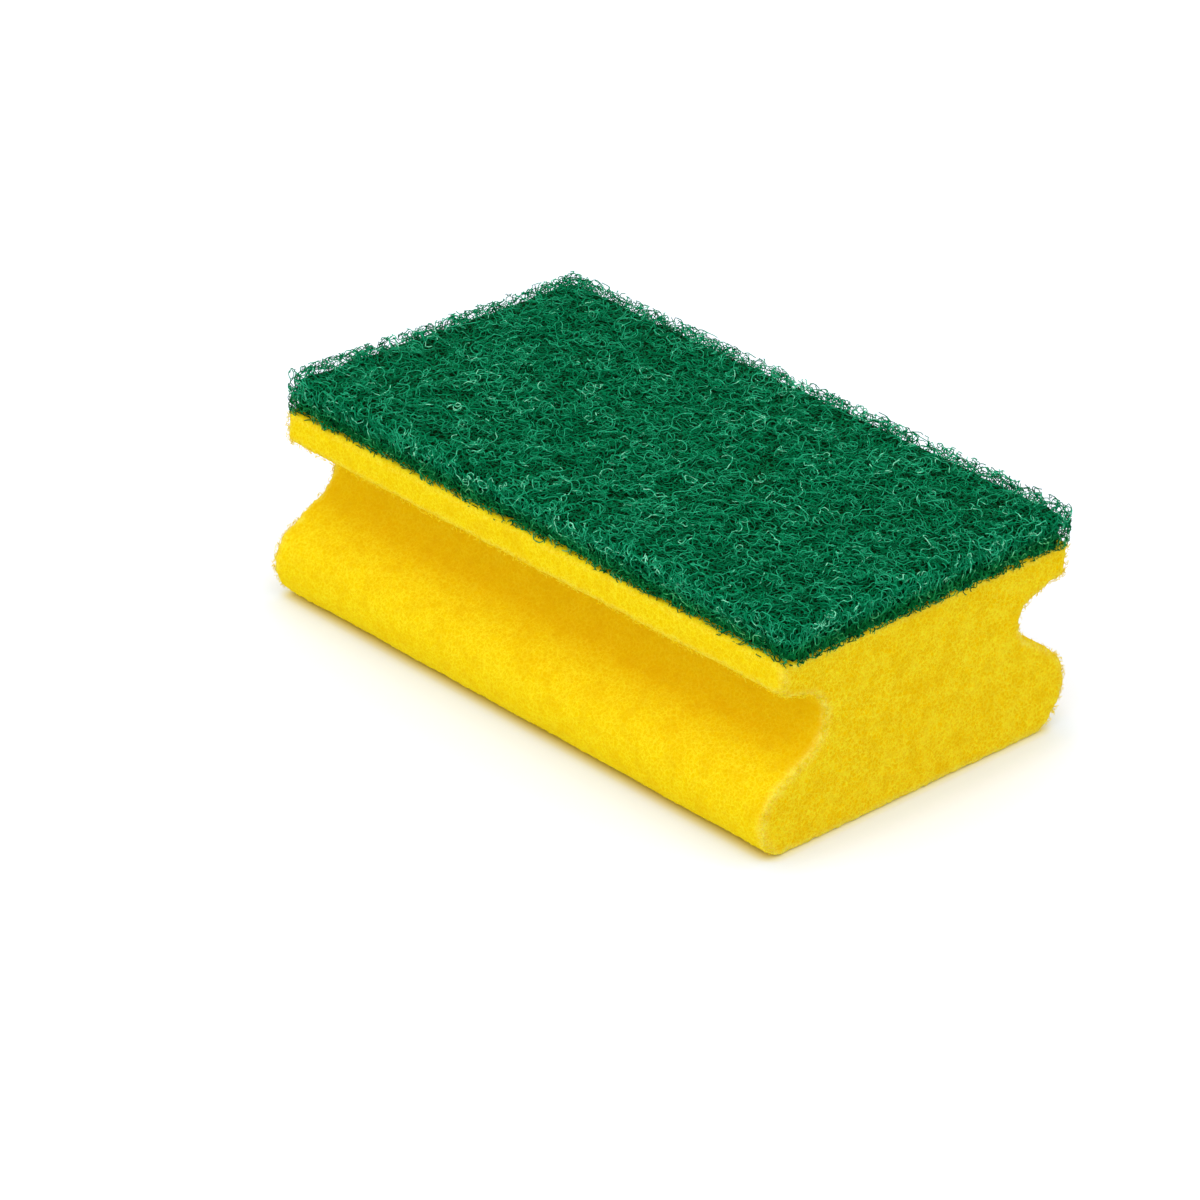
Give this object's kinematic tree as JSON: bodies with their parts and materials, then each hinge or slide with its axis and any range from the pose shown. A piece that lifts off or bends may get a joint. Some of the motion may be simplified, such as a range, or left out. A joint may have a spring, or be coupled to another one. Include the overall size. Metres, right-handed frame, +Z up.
{
  "type": "cleaning sponge",
  "caption": "Kitchen cleaning sponge: a foam block with a finger groove along each long side and a scouring pad of matted fibre bonded to its top.",
  "frame": {"origin": "centre of the foam's flat underside, on the surface that the sponge rests on", "axes": "+X along the length and the finger grooves, +Y across the width, +Z up through the foam to the scouring pad"},
  "size_m": [0.13, 0.0804, 0.046],
  "materials": {
    "foam": "open-cell soft foam, cut and dry, matte",
    "scouring_fibre": "matted curly non-woven fibre, stiff and slightly glossy"
  },
  "bodies": {
    "root": {"foam_body": "foam", "scouring_pad": "scouring_fibre"}
  },
  "joints": []
}
